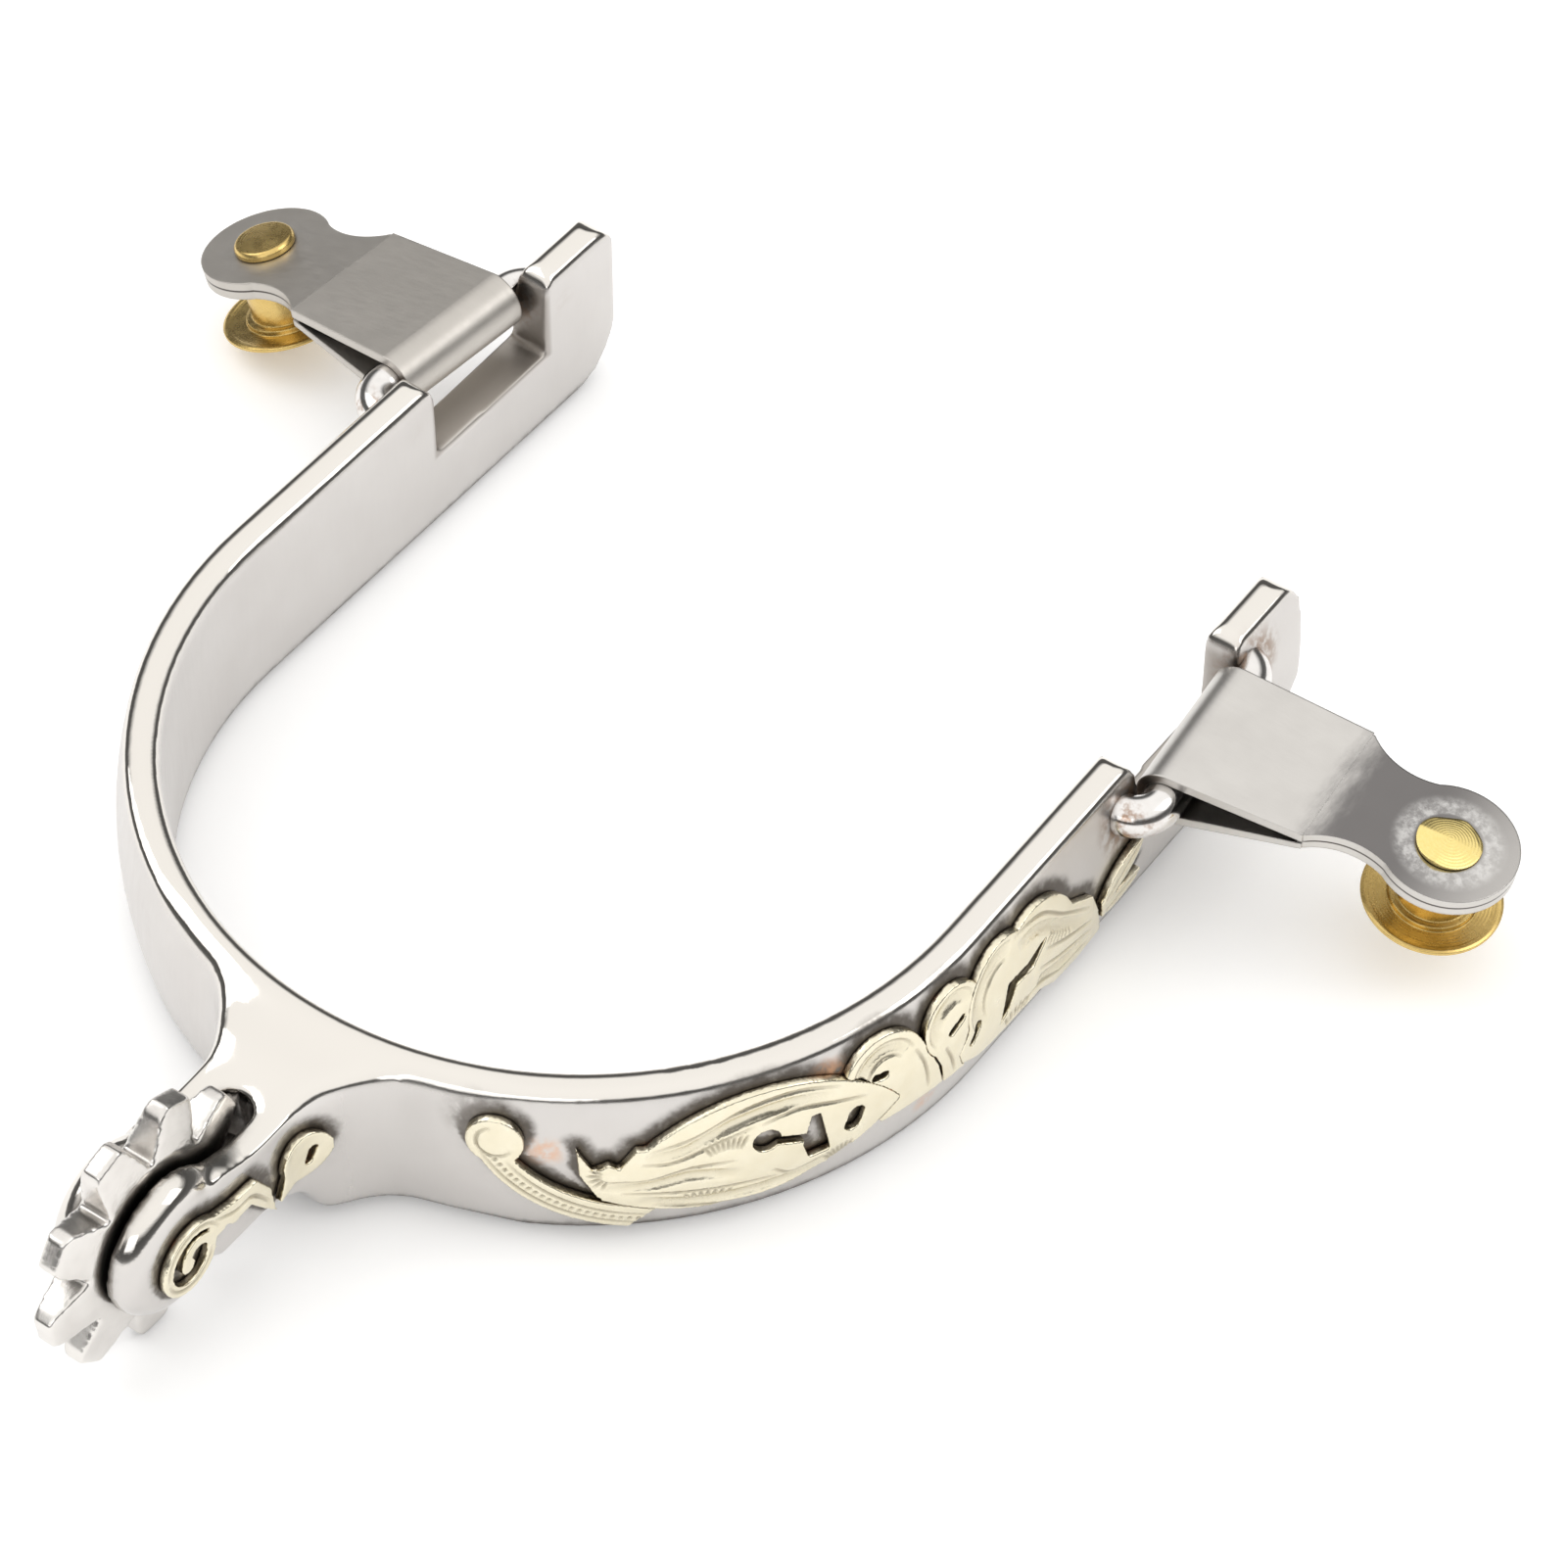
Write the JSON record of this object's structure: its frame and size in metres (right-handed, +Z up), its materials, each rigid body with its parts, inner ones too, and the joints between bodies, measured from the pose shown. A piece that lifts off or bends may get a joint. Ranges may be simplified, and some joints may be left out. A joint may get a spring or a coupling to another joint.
{
  "type": "riding spur",
  "caption": "Western spur: U-shaped heel band with a forked shank, a free-turning rowel, and swinging strap hangers that carry brass buttons.",
  "frame": {"origin": "centre of the heel curve, half way up the band", "axes": "+X towards the decorated branch, +Y from the heel to the open end, +Z up, square to the plane of the band"},
  "size_m": [0.1435, 0.1257, 0.0255],
  "materials": {
    "cast_steel": "mirror-polished edges, satin inner face",
    "rowel_steel": "polished flats with ground points",
    "sheet_steel": "satin",
    "button_brass": "turned and lightly tarnished",
    "overlay_silver": "engraved nickel silver, warm tint"
  },
  "bodies": {
    "band": {"heel_band": "cast_steel", "rowel_pin": "cast_steel", "staple_left": "cast_steel", "staple_right": "cast_steel", "overlay_curl": "overlay_silver", "overlay_leaf": "overlay_silver", "overlay_scroll_small": "overlay_silver", "overlay_scroll_mid": "overlay_silver", "overlay_scroll_front": "overlay_silver", "overlay_sprig": "overlay_silver", "overlay_shank_leaf": "overlay_silver", "overlay_shank_scroll": "overlay_silver"},
    "rowel": {"rowel": "rowel_steel"},
    "left_hanger": {"hanger_left": "sheet_steel", "button_left": "button_brass"},
    "right_hanger": {"hanger_right": "sheet_steel", "button_right": "button_brass"}
  },
  "joints": [
    {"name": "rowel_spin", "type": "hinge", "parent": "band", "child": "rowel", "pos_m": [0, -0.0615, 0.0039], "axis": [1, 0, 0], "continuous": true},
    {"name": "hanger_left_swing", "type": "hinge", "parent": "band", "child": "left_hanger", "pos_m": [-0.0421, 0.0331, 0.00515], "axis": [0.1045, 0.9945, 0], "range_deg": [-62, 205]},
    {"name": "hanger_right_swing", "type": "hinge", "parent": "band", "child": "right_hanger", "pos_m": [0.0421, 0.0331, 0.00515], "axis": [0.1045, -0.9945, 0], "range_deg": [-72, 195]}
  ]
}
